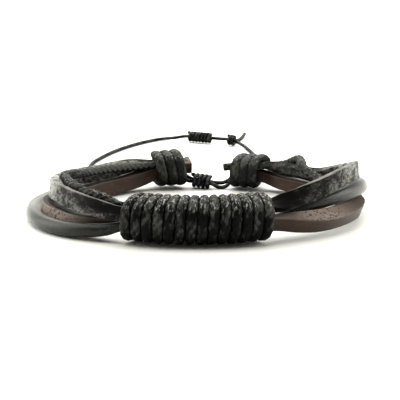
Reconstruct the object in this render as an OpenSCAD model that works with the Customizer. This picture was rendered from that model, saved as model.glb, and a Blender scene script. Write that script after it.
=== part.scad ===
/* [Leather strands] */
// Width of the black flat strap
strap_w = 3.4; // [3:0.1:3.5]
// Thickness of the black flat strap
strap_t = 1.4; // [1.2:0.1:1.6]
// Width of the brown lace
lace_w = 3.4; // [2.8:0.1:3.4]
// Thickness of the brown lace
lace_t = 3; // [2.2:0.1:3]
// Diameter of the round leather cord
round_d = 2.9; // [2.4:0.1:3]
// Diameter of the waxed strand that runs with the leather
strand_d = 2; // [1.6:0.1:2.1]

/* [Windings] */
// Diameter of the waxed cord wound round the front
wrap_d = 2.04; // [1.6:0.02:2.06]
// Turns of the winding at the front
wrap_turns = 14; // [12:1:14]
// Diameter of the waxed cord wound round each end
end_wrap_d = 1.9; // [1.5:0.1:1.9]
// Turns of each end winding
end_wrap_turns = 3; // [3:1:4]

/* [Closure] */
// Diameter of the thin cords that close the loop
thin_d = 0.9; // [0.8:0.1:1]
// Turns of the sliding knot
slide_turns = 4; // [3:1:4]

/* [Hidden] */

black = "#1c1b1a";
worn_black = "#34322f";
brown = "#5a4038";
waxed_black = "#161616";

// Rings in one turn of a winding, how square its turns are, where they start, and how far ahead
// its direction is read, in degrees
turn_rings = 14;
look_ahead = 4;
roundness = 2.7;
front_start = 120;
end_start = 0;
// How flat the wound cord is pulled, and how far its turns tip at the left end, in degrees
cord_flat = 0.78;
left_tip = 1.4;
// How tightly the bundle bends under the front winding, and under the end ones
front_bend = 34;
end_bend = 600;
// Rings in one turn of a knot's coil, and where the coil starts, in degrees
coil_rings = 10;
coil_start = 90;
barrel_turns = 7;
end_knot_turns = 2;

// How far the corners of the flat leathers are eased
strap_ease = 0.25;
lace_ease = 0.2;
// Rings along each strand
strap_rings = 54;
lace_rings = 58;
round_rings = 64;
waxed_rings = 62;
// Sides of a round section: leather and waxed strands, thin cords, and the coils of the knots
strand_sides = 8;
thin_sides = 7;
coil_sides = 6;
// Rings between two points of a hand-laid route, on a long cord and on a short one
long_steps = 3;
short_steps = 2;
// How far either side of a point of the plan its direction is read, in degrees
plan_step = 0.5;

// Plan of the bundle's middle line, seen from above: the angle round from the middle of the front,
// with plus towards +X, and the distance from the middle of the hollow
// [angle, radius]
plan = [
    [-180, 28.3], [-174, 27.8], [-165, 27.4], [-156, 27.7], [-147, 27.5], [-134, 27.4],
    [-118, 28.2], [-104, 29.4], [-90, 30.3], [-76, 30.2], [-60, 29.5], [-44, 28.7],
    [-30, 27.9], [-15, 27.4], [0, 27.2], [15, 27.4], [30, 27.9], [42, 28.9],
    [55, 30.4], [70, 31.6], [90, 32.3], [105, 31.6], [120, 30.0], [135, 28.7],
    [147, 28.7], [154, 28.2], [161, 27.9], [170, 28.0], [180, 28.3]
];

// Each strand's place in the bundle: out is the distance outwards from the middle line, up the
// height over the surface, lean how far its top tips inwards, grip how much the windings squeeze it
// [angle, out, up, lean, grip]
strap_rows = [
    [-164, 0.6, 5.5, 72, 0.8],
    [-156, 0.5, 5.5, 62, 0.84],
    [-146, 0.2, 5.4, 30, 0.95],
    [-130, 0.1, 4.9, 14, 1],
    [-110, -0.3, 5.15, 10, 1],
    [-90, -1.8, 5.8, 5, 1],
    [-74, -1.2, 6.4, 6, 1],
    [-60, -0.1, 6.6, 8, 1],
    [-48, 1.1, 6.4, 10, 1],
    [-38, 2.1, 6.1, 12, 0.95],
    [-29, 2.55, 5.55, 12, 0.84],
    [-20, 2.4, 5.5, 10, 0.81],
    [-10, 2.55, 5.3, 4, 0.81],
    [5, 2.6, 4.95, 0, 0.81],
    [10, 2.3, 5.8, 50, 0.85],
    [15, 1.2, 6.3, 80, 0.84],
    [27, 0.1, 6.35, 76, 0.84],
    [35, 0.5, 7.1, 34, 0.95],
    [46, 0.6, 8.5, 10, 1],
    [60, 0.2, 9.9, 8, 1],
    [76, -0.5, 9.95, 8, 1],
    [90, -1.0, 8.7, 12, 1],
    [104, -1.3, 6.9, 26, 1],
    [118, -1.4, 5.15, 36, 1],
    [130, -1.6, 5.35, 42, 1],
    [139, -1.6, 5.45, 46, 0.97],
    [144, -1.45, 5.5, 60, 0.9],
    [148, -1.35, 5.35, 78, 0.83],
    [150, -1.3, 5.25, 88, 0.8],
    [157, -1.3, 5.25, 88, 0.8]
];
lace_rows = [
    [-176.5, -0.6, 5.05, 30, 0.9],
    [-171, -0.8, 4.6, 20, 0.76],
    [-165, -1.2, 3.66, 6, 0.71],
    [-160, -1.2, 3.6, 0, 0.71],
    [-156, -1.3, 3.15, 0, 0.82],
    [-151, -1.6, 2.7, 0, 0.88],
    [-143, -1.95, 2.2, -6, 0.93],
    [-130, -2.2, 1.85, -8, 0.9],
    [-110, -2.0, 1.5, -4, 0.86],
    [-90, -1.35, 1.95, 4, 0.98],
    [-74, -0.45, 2.2, 8, 1],
    [-60, 0.2, 2.3, 8, 1],
    [-48, 0.6, 2.4, 4, 0.95],
    [-38, 0.3, 2.9, 0, 0.85],
    [-29, 0.1, 3.6, 0, 0.74],
    [-20, -0.3, 3.7, 0, 0.74],
    [-15, -0.5, 4.1, 0, 0.74],
    [-10, -0.4, 5.3, 0, 0.74],
    [-3, 0.2, 5.4, 0, 0.74],
    [1, 0.75, 5.4, 0, 0.74],
    [5, 0.7, 4.4, 0, 0.74],
    [9, 0.95, 3.7, -4, 0.74],
    [15, 1.5, 3.68, -8, 0.74],
    [22, 1.7, 3.74, -10, 0.73],
    [29, 2.0, 3.7, -14, 0.75],
    [38, 1.8, 3.3, -26, 0.9],
    [48, 1.1, 2.9, -36, 1],
    [60, 0.4, 2.8, -36, 1],
    [74, -0.2, 2.7, -26, 1],
    [90, -0.9, 2.3, -10, 0.98],
    [104, -1.5, 1.9, -2, 0.96],
    [118, -1.8, 1.72, -2, 0.9],
    [130, -1.9, 2.05, -4, 0.84],
    [138, -1.8, 2.4, -4, 0.75],
    [142, -1.5, 2.65, -2, 0.72],
    [146, -1.2, 3.02, 0, 0.7],
    [150, -1.15, 3.25, 0, 0.7],
    [157, -1.05, 3.28, 0, 0.7]
];
round_rows = [
    [-166, 1.3, 3.3, 0, 0.78],
    [-156, 1.3, 3.3, 0, 0.78],
    [-146, 1.5, 2.2, 0, 0.95],
    [-130, 1.5, 1.6, 0, 1],
    [-110, 1.9, 1.5, 0, 1],
    [-90, 2.05, 1.5, 0, 1],
    [-74, 2.75, 1.5, 0, 1],
    [-60, 3.6, 1.5, 0, 1],
    [-48, 3.6, 1.56, 0, 0.98],
    [-38, 2.95, 2.02, 0, 0.88],
    [-33, 2.55, 2.36, 0, 0.78],
    [-27.6, 2.14, 3.12, 0, 0.63],
    [-26, 2.1, 3.18, 0, 0.63],
    [-24, 2.1, 3.17, 0, 0.65],
    [-20, 2.1, 3.13, 0, 0.66],
    [-13, 1.85, 3.07, 0, 0.65],
    [-10, 1.7, 3.0, 0, 0.69],
    [-3, 0.1, 3.0, 0, 0.69],
    [1, -1.35, 3.05, 0, 0.67],
    [5, -1.62, 3.12, 0, 0.69],
    [15, -1.2, 3.18, 0, 0.74],
    [29, -0.7, 3.3, 0, 0.8],
    [38, -1.4, 4.3, 0, 0.92],
    [50, -1.5, 5.6, 0, 1],
    [62, -1.0, 6.25, 0, 1],
    [76, -0.3, 6.25, 0, 1],
    [90, 0.4, 5.6, 0, 1],
    [104, 1.2, 4.6, 0, 1],
    [112, 1.7, 3.6, 0, 1],
    [118, 1.8, 2.7, 0, 1],
    [124, 1.8, 2.0, 0, 1],
    [130, 1.6, 1.7, 0, 1],
    [142, 1.4, 2.5, 0, 0.95],
    [150, 1.15, 3.1, 0, 0.76],
    [157, 1.15, 3.1, 0, 0.76]
];
waxed_rows = [
    [-164, -1.95, 5.6, 0, 0.8],
    [-156, -1.9, 5.6, 0, 0.82],
    [-146, -2.2, 5.7, 0, 1],
    [-130, -2.8, 6.1, 0, 1],
    [-110, -3.6, 6.5, 0, 1],
    [-98, -4.3, 7.2, 0, 1],
    [-86, -4.3, 8.0, 0, 1],
    [-74, -3.6, 8.4, 0, 1],
    [-60, -2.3, 8.3, 0, 1],
    [-48, -1.1, 7.9, 0, 1],
    [-38, -0.3, 7.5, 0, 1],
    [-29, 0.2, 6.45, 0, 0.85],
    [-20, -2.3, 5.6, 0, 0.85],
    [-10, -2.6, 5.3, 0, 0.85],
    [15, -2.7, 5.2, 0, 0.85],
    [29, -2.6, 5.1, 0, 0.85],
    [42, -4.0, 5.3, 0, 1],
    [60, -4.1, 5.4, 0, 1],
    [80, -3.6, 5.2, 0, 1],
    [98, -3.6, 4.8, 0, 1],
    [110, -4.4, 5.2, 0, 1],
    [121, -4.4, 6.9, 0, 1],
    [124, -3.5, 7.65, 0, 1],
    [129, -1.5, 7.98, 0, 1],
    [138, 0.6, 6.3, 0, 0.95],
    [146, 1.2, 5.4, 0, 0.82],
    [151, 1.2, 5.2, 0, 0.8],
    [156, 1.2, 5.15, 0, 0.8],
    [168, 0.2, 4.4, 0, 0.9]
];

// The windings: middle and half sizes of the bundle that each one grips
// [angle, out, up, half_depth, half_height]
wrap_rows = [
    [-26.6, 0, 4.7, 3.7, 2.7],
    [0, 0, 4.5, 3.72, 2.76],
    [25.4, 0, 4.75, 3.7, 2.74]
];
left_end_rows = [
    [-172.7, 0, 4.55, 3.35, 2.5],
    [-159.7, 0, 4.38, 3.35, 2.32]
];
right_end_rows = [
    [150.2, 0, 4.05, 3.35, 2.2],
    [162.4, 0, 4.05, 3.35, 2.2]
];

// Route of each thin cord between the windings, laid by hand, [x, y, z]
low_route = [
    [-4.6, 28.2, 2.7], [-3.6, 27.6, 2.55], [-2.3, 26.6, 1.7], [-1.1, 25.9, 1.6], [1.1, 25.43, 1.6],
    [3.2, 25, 1.17], [4.6, 24.9, 0.5], [5.8, 24.9, 0.46], [6.8, 25.1, 0.95], [7.7, 25.6, 2.35],
    [9.6, 25.8, 2.65]
];
high_route = [
    [-4.5, 29.8, 2.7], [-3.4, 29.2, 2.6], [-2.4, 28.2, 2.4], [-1.1, 27, 1.9], [1.1, 26.53, 1.6],
    [3.2, 25.95, 1.4], [4.6, 25.75, 1.25], [5.8, 25.85, 1.3], [6.9, 26.3, 1.7], [8, 26.8, 2.4],
    [9.6, 27, 2.65]
];

// Route of the draw cord, laid by hand on the surface behind the bracelet, [x, y, z]
draw_route = [
    [-8.78, 30.73, 2.4], [-9.2, 32.4, 2.1], [-11.8, 34.2, 0.8], [-17, 35.5, 0.5],
    [-22.5, 40, 0.5], [-25.2, 47, 0.5], [-25.4, 55, 0.5], [-24, 63, 0.5],
    [-21.6, 72, 0.5], [-18.4, 80.5, 0.5], [-14.6, 88, 0.5],
    [-10.4, 93.6, 0.5], [-6.2, 94.4, 0.8], [-2.6, 92, 1.6], [1.4, 89.8, 1.6], [5.4, 87.8, 1.6],
    [9.2, 85.4, 1.6], [12, 81.5, 0.8], [13.4, 75.4, 0.5], [14.6, 66, 0.5], [15.3, 54, 0.5],
    [15.3, 42, 0.5], [14.9, 35, 0.8], [14.3, 31.6, 2.1], [13.68, 29.68, 2.3]
];
tail_route = [
    [9.76, 86.95, 1.68], [10.8, 90, 0.7], [11.7, 94, 0.5], [12.6, 98, 0.6], [13.3, 101.5, 0.9]
];

// Where each knot's coil starts and ends, [x, y, z], and the half sizes of its oval
slide_coil = [[-1, 26.45, 1.8], [2.9, 25.55, 1.5], [1.66, 1.18]];
barrel_coil = [[-2.2, 91.8, 1.6], [3.8, 88.5, 1.6], [1, 1]];
end_coil = [[8.3, 86.1, 1.6], [10.1, 84.6, 1.55], [1, 1]];

// Reads column c of a table at x, with a smooth curve through its rows
function slope(rows, i, c) = let (a = max(i - 1, 0), b = min(i + 1, len(rows) - 1))
    (rows[b][c] - rows[a][c]) / (rows[b][0] - rows[a][0]);
function segment(rows, x) = max([0, for (i = [0:len(rows) - 2]) if (rows[i][0] <= x) i]);
function read(rows, x, c) = let (
        i = segment(rows, x),
        h = rows[i + 1][0] - rows[i][0],
        t = (x - rows[i][0]) / h
    )
    rows[i][c] * (2 * t ^ 3 - 3 * t ^ 2 + 1) + rows[i + 1][c] * (3 * t ^ 2 - 2 * t ^ 3)
    + h * slope(rows, i, c) * (t ^ 3 - 2 * t ^ 2 + t) + h * slope(rows, i + 1, c) * (t ^ 3 - t ^ 2);

function unit(v) = v / norm(v);
function middle(angle) = read(plan, angle, 1) * [sin(angle), -cos(angle), 0];
function outwards(angle) = unit(cross(middle(angle + plan_step) - middle(angle - plan_step), [0, 0, 1]));

// A point of a strand or winding, from its distances out of the middle line and over the surface
function place(angle, out, up) = middle(angle) + out * outwards(angle) + [0, 0, up];

// A section of a strap: a rectangle with eased corners, [out, up]
function strap_section(w, t, ease) = [
    [t / 2 - ease, -w / 2], [t / 2, -w / 2 + ease], [t / 2, w / 2 - ease], [t / 2 - ease, w / 2],
    [-t / 2 + ease, w / 2], [-t / 2, w / 2 - ease], [-t / 2, -w / 2 + ease], [-t / 2 + ease, -w / 2]
];
function round_section(d, sides) = [for (k = [0:sides - 1])
    d / 2 * [cos((k + 0.5) * 360 / sides), sin((k + 0.5) * 360 / sides)]];
function leaned(section, lean, grip) = [for (p = section)
    grip * [p[0] * cos(lean) - p[1] * sin(lean), p[0] * sin(lean) + p[1] * cos(lean)]];

// Skin of a solid through rings of points, with flat ends
module skin(rings) {
    n = len(rings[0]);
    last = (len(rings) - 1) * n;
    faces = [
        [for (k = [n - 1:-1:0]) k],
        for (r = [0:len(rings) - 2]) for (k = [0:n - 1]) for (half = [0, 1])
            let (a = r * n + k, b = r * n + (k + 1) % n)
            half == 0 ? [a, b, b + n] : [a, b + n, a + n],
        [for (k = [0:n - 1]) last + k]
    ];
    points = [for (ring = rings) each ring];
    polyhedron(points = points, faces = faces);
}

// Rings across a path of points; up shows which way the section stands
function direction(path, i) = unit(path[min(i + 1, len(path) - 1)] - path[max(i - 1, 0)]);
function ring(path, i, section, up) = let (
        t = direction(path, i),
        side = unit(cross(t, up)),
        top = cross(side, t)
    )
    [for (p = section) path[i] + p[0] * side + p[1] * top];

// A strand round the wrist, with a ring at equal steps of the angle
module strand(rows, section, rings) {
    first = rows[0][0];
    last = rows[len(rows) - 1][0];
    angles = [for (i = [0:rings - 1]) first + (last - first) * i / (rings - 1)];
    path = [for (a = angles) place(a, read(rows, a, 1), read(rows, a, 2))];
    skin([for (i = [0:rings - 1])
        ring(path, i, leaned(section, read(rows, angles[i], 3), read(rows, angles[i], 4)), [0, 0, 1])]);
}

// A thin cord along a path of points
module tube(path, sides, up) {
    skin([for (i = [0:len(path) - 1]) ring(path, i, round_section(thin_d, sides), up)]);
}

// A point on the rounded oval that a winding follows; roundness 2 is an ellipse
function bent(v) = sign(v) * pow(abs(v), 2 / roundness);
function oval(half_w, half_h, turn) = [half_w * bent(cos(turn)), half_h * bent(sin(turn))];

// Path of a winding: the turns round the bundle, as [angle, place on the oval, place further on]
function wound(rows, d, turns, start) = let (count = turns * turn_rings)
    [for (i = [0:count]) let (
            angle = rows[0][0] + (rows[len(rows) - 1][0] - rows[0][0]) * i / count,
            turn = start + i * 360 / turn_rings,
            half_w = read(rows, angle, 3) + cord_flat * d / 2,
            half_h = read(rows, angle, 4) + cord_flat * d / 2
        )
        [angle, oval(half_w, half_h, turn), oval(half_w, half_h, turn + look_ahead)]];

// A cord wound round the bundle. Its turns crowd together on the wrist side, where the bundle
// bends, and the cord is squeezed there by the room it has
module winding(rows, d, turns, start, bend_radius, tip = 0) {
    skin([for (step = wound(rows, d, turns, start)) let (
            angle = step[0],
            out = outwards(angle),
            axis = cross([0, 0, 1], out),
            ahead = step[2] - step[1],
            away = cross(unit(ahead[0] * out + [0, 0, ahead[1]]), axis),
            tipped = angle + tip * step[1][1] / read(rows, angle, 4),
            centre = place(tipped, read(rows, angle, 1) + step[1][0], read(rows, angle, 2) + step[1][1]),
            room = (bend_radius + step[1][0]) / (bend_radius + read(rows, angle, 3) + d)
        )
        [for (p = round_section(d, strand_sides)) centre - p[0] * room * axis + cord_flat * p[1] * away]]);
}

// A smooth path through the points of a hand-laid route
function bend(a, b, c, d, t) = 0.5 * (2 * b + (c - a) * t + (2 * a - 5 * b + 4 * c - d) * t ^ 2
    + (3 * b - a - 3 * c + d) * t ^ 3);
function smoothed(route, steps) = let (last = len(route) - 1) [
    for (i = [0:last - 1]) for (k = [0:steps - 1])
        bend(route[max(i - 1, 0)], route[i], route[i + 1], route[min(i + 2, last)], k / steps),
    route[last]
];

module thin_cord(route, steps) {
    color(waxed_black) tube(smoothed(route, steps), thin_sides, [0, 0, 1]);
}

// A thin cord coiled round a line from one point to another, as an oval of the given half sizes
module coiled_cord(coil, turns) {
    from = coil[0];
    to = coil[1];
    half = coil[2];
    axis = unit(to - from);
    side = unit(cross(axis, [0, 0, 1]));
    top = cross(side, axis);
    count = turns * coil_rings;
    path = [for (i = [0:count]) let (turn = coil_start + i * 360 / coil_rings)
        from + (to - from) * i / count + half[0] * cos(turn) * side + half[1] * sin(turn) * top];
    color(waxed_black) tube(path, coil_sides, axis);
}

module flat_strap() {
    color(worn_black) strand(strap_rows, strap_section(strap_w, strap_t, strap_ease), strap_rings);
}

module brown_lace() {
    color(brown) strand(lace_rows, strap_section(lace_w, lace_t, lace_ease), lace_rings);
}

module round_cord() {
    color(black) strand(round_rows, round_section(round_d, strand_sides), round_rings);
}

module waxed_strand() {
    color(waxed_black) strand(waxed_rows, round_section(strand_d, strand_sides), waxed_rings);
}

module centre_wrap() {
    color(waxed_black) winding(wrap_rows, wrap_d, wrap_turns, front_start, front_bend);
}

module left_end_wrap() {
    color(waxed_black) winding(left_end_rows, end_wrap_d, end_wrap_turns, end_start, end_bend, left_tip);
}

module right_end_wrap() {
    color(waxed_black) winding(right_end_rows, end_wrap_d, end_wrap_turns, end_start, end_bend);
}

module bridge_cord_low() {
    thin_cord(low_route, short_steps);
}

module bridge_cord_high() {
    thin_cord(high_route, short_steps);
}

module sliding_knot() {
    coiled_cord(slide_coil, slide_turns);
}

module draw_cord() {
    thin_cord(draw_route, long_steps);
}

module barrel_knot() {
    coiled_cord(barrel_coil, barrel_turns);
}

module end_knot() {
    coiled_cord(end_coil, end_knot_turns);
}

module cord_tail() {
    thin_cord(tail_route, short_steps);
}

flat_strap();
brown_lace();
round_cord();
waxed_strand();
centre_wrap();
left_end_wrap();
right_end_wrap();
bridge_cord_low();
bridge_cord_high();
sliding_knot();
draw_cord();
barrel_knot();
end_knot();
cord_tail();
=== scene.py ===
"""A leather bracelet: three leather strands and one waxed cord, bound at the front and at both ends."""
import math

import bpy
import numpy as np
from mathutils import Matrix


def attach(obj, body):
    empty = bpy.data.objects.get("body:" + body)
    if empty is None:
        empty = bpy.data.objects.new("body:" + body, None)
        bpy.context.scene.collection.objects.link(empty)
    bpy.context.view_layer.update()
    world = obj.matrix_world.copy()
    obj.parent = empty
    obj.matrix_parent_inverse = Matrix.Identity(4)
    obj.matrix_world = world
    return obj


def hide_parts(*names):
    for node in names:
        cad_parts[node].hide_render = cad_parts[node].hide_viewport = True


bl_info = {
    "name": "Leather bracelet",
    "version": (1, 0, 0),
    "blender": (4, 5, 0),
    "location": "View3D > Sidebar > Bracelet",
    "description": "Leather strands, waxed cord bindings and the sliding closure of a bracelet",
    "category": "Add Mesh",
}

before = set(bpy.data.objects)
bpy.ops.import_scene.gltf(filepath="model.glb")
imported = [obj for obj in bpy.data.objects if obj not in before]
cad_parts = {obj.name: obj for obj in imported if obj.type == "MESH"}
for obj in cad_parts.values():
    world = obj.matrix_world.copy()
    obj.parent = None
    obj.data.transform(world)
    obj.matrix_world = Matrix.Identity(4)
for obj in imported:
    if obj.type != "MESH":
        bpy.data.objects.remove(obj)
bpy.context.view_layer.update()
MM = 0.001
UP = np.array([0.0, 0.0, 1.0])
# How quickly the pale cut edge and its painted highlight fade down its rounding
EDGE_SHARPNESS = 4
# Keeps a cord's rounded end open to a small ring: the square of its least girth
END_RING = 0.05

# Angles are in degrees round from the front, and lengths in millimetres where nothing else is said.
# Plan of the bundle's middle line: angle, distance from the middle of the loop
PLAN = [
    (-180, 28.3), (-174, 27.8), (-165, 27.4), (-156, 27.7), (-147, 27.5), (-134, 27.4), (-118, 28.2),
    (-104, 29.4), (-90, 30.3), (-76, 30.2), (-60, 29.5), (-44, 28.7), (-30, 27.9), (-15, 27.4),
    (0, 27.2), (15, 27.4), (30, 27.9), (42, 28.9), (55, 30.4), (70, 31.6), (90, 32.3), (105, 31.6),
    (120, 30.0), (135, 28.7), (147, 28.7), (154, 28.2), (161, 27.9), (170, 28.0), (180, 28.3),
]
# Each strand's place in the bundle: angle, outwards, up, lean, grip
STRAP_ROWS = [
    (-164, 0.6, 5.5, 72, 0.8), (-156, 0.5, 5.5, 62, 0.84), (-146, 0.2, 5.4, 30, 0.95),
    (-130, 0.1, 4.9, 14, 1), (-110, -0.3, 5.15, 10, 1), (-90, -1.8, 5.8, 5, 1), (-74, -1.2, 6.4, 6, 1),
    (-60, -0.1, 6.6, 8, 1), (-48, 1.1, 6.4, 10, 1), (-38, 2.1, 6.1, 12, 0.95),
    (-29, 2.55, 5.55, 12, 0.84), (-20, 2.4, 5.5, 10, 0.81), (-10, 2.55, 5.3, 4, 0.81),
    (5, 2.6, 4.95, 0, 0.81), (10, 2.3, 5.8, 50, 0.85), (15, 1.2, 6.3, 80, 0.84),
    (27, 0.1, 6.35, 76, 0.84), (35, 0.5, 7.1, 34, 0.95), (46, 0.6, 8.5, 10, 1), (60, 0.2, 9.9, 8, 1),
    (76, -0.5, 9.95, 8, 1), (90, -1.0, 8.7, 12, 1), (104, -1.3, 6.9, 26, 1), (118, -1.4, 5.15, 36, 1),
    (130, -1.6, 5.35, 42, 1), (139, -1.6, 5.45, 46, 0.97), (144, -1.45, 5.5, 60, 0.9),
    (148, -1.35, 5.35, 78, 0.83), (150, -1.3, 5.25, 88, 0.8), (157, -1.3, 5.25, 88, 0.8),
]
LACE_ROWS = [
    (-176.5, -0.6, 5.05, 30, 0.9), (-171, -0.8, 4.6, 20, 0.76), (-165, -1.2, 3.66, 6, 0.71),
    (-160, -1.2, 3.6, 0, 0.71), (-156, -1.3, 3.15, 0, 0.82), (-151, -1.6, 2.7, 0, 0.88),
    (-143, -1.95, 2.2, -6, 0.93), (-130, -2.2, 1.85, -8, 0.9), (-110, -2.0, 1.5, -4, 0.86),
    (-90, -1.35, 1.95, 4, 0.98), (-74, -0.45, 2.2, 8, 1), (-60, 0.2, 2.3, 8, 1),
    (-48, 0.6, 2.4, 4, 0.95), (-38, 0.3, 2.9, 0, 0.85), (-29, 0.1, 3.6, 0, 0.74),
    (-20, -0.3, 3.7, 0, 0.74), (-15, -0.5, 4.1, 0, 0.74), (-10, -0.4, 5.3, 0, 0.74),
    (-3, 0.2, 5.4, 0, 0.74), (1, 0.75, 5.4, 0, 0.74), (5, 0.7, 4.4, 0, 0.74), (9, 0.95, 3.7, -4, 0.74),
    (15, 1.5, 3.68, -8, 0.74), (22, 1.7, 3.74, -10, 0.73), (29, 2.0, 3.7, -14, 0.75),
    (38, 1.8, 3.3, -26, 0.9), (48, 1.1, 2.9, -36, 1), (60, 0.4, 2.8, -36, 1), (74, -0.2, 2.7, -26, 1),
    (90, -0.9, 2.3, -10, 0.98), (104, -1.5, 1.9, -2, 0.96), (118, -1.8, 1.72, -2, 0.9),
    (130, -1.9, 2.05, -4, 0.84), (138, -1.8, 2.4, -4, 0.75), (142, -1.5, 2.65, -2, 0.72),
    (146, -1.2, 3.02, 0, 0.7), (150, -1.15, 3.25, 0, 0.7), (157, -1.05, 3.28, 0, 0.7),
]
ROUND_ROWS = [
    (-166, 1.3, 3.3, 0, 0.78), (-156, 1.3, 3.3, 0, 0.78), (-146, 1.5, 2.2, 0, 0.95),
    (-130, 1.5, 1.6, 0, 1), (-110, 1.9, 1.5, 0, 1), (-90, 2.05, 1.5, 0, 1), (-74, 2.75, 1.5, 0, 1),
    (-60, 3.6, 1.5, 0, 1), (-48, 3.6, 1.56, 0, 0.98), (-38, 2.95, 2.02, 0, 0.88),
    (-33, 2.55, 2.36, 0, 0.78), (-27.6, 2.14, 3.12, 0, 0.63), (-26, 2.1, 3.18, 0, 0.63),
    (-24, 2.1, 3.17, 0, 0.65), (-20, 2.1, 3.13, 0, 0.66), (-13, 1.85, 3.07, 0, 0.65),
    (-10, 1.7, 3.0, 0, 0.69), (-3, 0.1, 3.0, 0, 0.69), (1, -1.35, 3.05, 0, 0.67),
    (5, -1.62, 3.12, 0, 0.69), (15, -1.2, 3.18, 0, 0.74), (29, -0.7, 3.3, 0, 0.8),
    (38, -1.4, 4.3, 0, 0.92), (50, -1.5, 5.6, 0, 1), (62, -1.0, 6.25, 0, 1), (76, -0.3, 6.25, 0, 1),
    (90, 0.4, 5.6, 0, 1), (104, 1.2, 4.6, 0, 1), (112, 1.7, 3.6, 0, 1), (118, 1.8, 2.7, 0, 1),
    (124, 1.8, 2.0, 0, 1), (130, 1.6, 1.7, 0, 1), (142, 1.4, 2.5, 0, 0.95), (150, 1.15, 3.1, 0, 0.76),
    (157, 1.15, 3.1, 0, 0.76),
]
WAXED_ROWS = [
    (-164, -1.95, 5.6, 0, 0.8), (-156, -1.9, 5.6, 0, 0.82), (-146, -2.2, 5.7, 0, 1),
    (-130, -2.8, 6.1, 0, 1), (-110, -3.6, 6.5, 0, 1), (-98, -4.3, 7.2, 0, 1), (-86, -4.3, 8.0, 0, 1),
    (-74, -3.6, 8.4, 0, 1), (-60, -2.3, 8.3, 0, 1), (-48, -1.1, 7.9, 0, 1), (-38, -0.3, 7.5, 0, 1),
    (-29, 0.2, 6.45, 0, 0.85), (-20, -2.3, 5.6, 0, 0.85), (-10, -2.6, 5.3, 0, 0.85),
    (15, -2.7, 5.2, 0, 0.85), (29, -2.6, 5.1, 0, 0.85), (42, -4.0, 5.3, 0, 1), (60, -4.1, 5.4, 0, 1),
    (80, -3.6, 5.2, 0, 1), (98, -3.6, 4.8, 0, 1), (110, -4.4, 5.2, 0, 1), (121, -4.4, 6.9, 0, 1),
    (124, -3.5, 7.65, 0, 1), (129, -1.5, 7.98, 0, 1), (138, 0.6, 6.3, 0, 0.95),
    (146, 1.2, 5.4, 0, 0.82), (151, 1.2, 5.2, 0, 0.8), (156, 1.2, 5.15, 0, 0.8),
    (168, 0.2, 4.4, 0, 0.9),
]
# The bindings: angle, outwards, up, half depth, half height of the bundle that each one grips
FRONT_ROWS = [(-26.6, 0, 4.7, 3.7, 2.7), (0, 0, 4.5, 3.72, 2.76), (25.4, 0, 4.75, 3.7, 2.74)]
LEFT_ROWS = [(-172.7, 0, 4.55, 3.35, 2.5), (-159.7, 0, 4.38, 3.35, 2.32)]
RIGHT_ROWS = [(150.2, 0, 4.05, 3.35, 2.2), (162.4, 0, 4.05, 3.35, 2.2)]
# Routes of the thin cords
LOW_ROUTE = [
    (-4.6, 28.2, 2.7), (-3.6, 27.6, 2.55), (-2.3, 26.6, 1.7), (-1.1, 25.9, 1.6), (1.1, 25.43, 1.6),
    (3.2, 25, 1.17), (4.6, 24.9, 0.5), (5.8, 24.9, 0.46), (6.8, 25.1, 0.95), (7.7, 25.6, 2.35),
    (9.6, 25.8, 2.65),
]
HIGH_ROUTE = [
    (-4.5, 29.8, 2.7), (-3.4, 29.2, 2.6), (-2.4, 28.2, 2.4), (-1.1, 27, 1.9), (1.1, 26.53, 1.6),
    (3.2, 25.95, 1.4), (4.6, 25.75, 1.25), (5.8, 25.85, 1.3), (6.9, 26.3, 1.7), (8, 26.8, 2.4),
    (9.6, 27, 2.65),
]
DRAW_ROUTE = [
    (-8.78, 30.73, 2.4), (-9.2, 32.4, 2.1), (-11.8, 34.2, 0.8), (-17, 35.5, 0.5), (-22.5, 40, 0.5),
    (-25.2, 47, 0.5), (-25.4, 55, 0.5), (-24, 63, 0.5), (-21.6, 72, 0.5), (-18.4, 80.5, 0.5),
    (-14.6, 88, 0.5), (-10.4, 93.6, 0.5), (-6.2, 94.4, 0.8), (-2.6, 92, 1.6), (1.4, 89.8, 1.6),
    (5.4, 87.8, 1.6), (9.2, 85.4, 1.6), (12, 81.5, 0.8), (13.4, 75.4, 0.5), (14.6, 66, 0.5),
    (15.3, 54, 0.5), (15.3, 42, 0.5), (14.9, 35, 0.8), (14.3, 31.6, 2.1), (13.68, 29.68, 2.3),
]
TAIL_ROUTE = [(9.76, 86.95, 1.68), (10.8, 90, 0.7), (11.7, 94, 0.5), (12.6, 98, 0.6), (13.3, 101.5, 0.9)]

# Where the strap is worn and grey, and where its two side turns are painted pale as highlight: angle, how
# much, and how much more towards its lower edge
STRAP_WEAR_AND_HIGHLIGHT = [
    (-180, 0.3, 0), (-150, 0.35, 0), (-120, 0.35, 0), (-98, 0.85, 0), (-84, 1.3, 0), (-74, 0.9, 0),
    (-66, 0.45, 0), (-58, 0.25, 0.04), (-50, 0.14, 0.12), (-44, 0.03, 0.2), (-39, 0, 0.2), (-34, 0, 0.2),
    (-28, 0, 0.08), (-10, 0, 0), (25, 0, 0), (40, 0.01, 0.02), (52, 0.1, 0.04), (62, 0.32, 0), (76, 0.52, 0),
    (90, 0.95, 0), (110, 0.25, 0), (150, 0.08, 0), (180, 0.08, 0),
]
# Where the round cord's turns at each side are painted pale as highlight: angle, how much
ROUND_HIGHLIGHT = [
    (-180, 0.02), (-120, 0.12), (-98, 0.75), (-84, 1), (-74, 0.65), (-66, 0.32), (-58, 0.14),
    (-45, 0.03), (0, 0), (45, 0.02), (62, 0.15), (78, 0.5), (92, 1), (110, 0.25), (150, 0.02), (180, 0),
]
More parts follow.
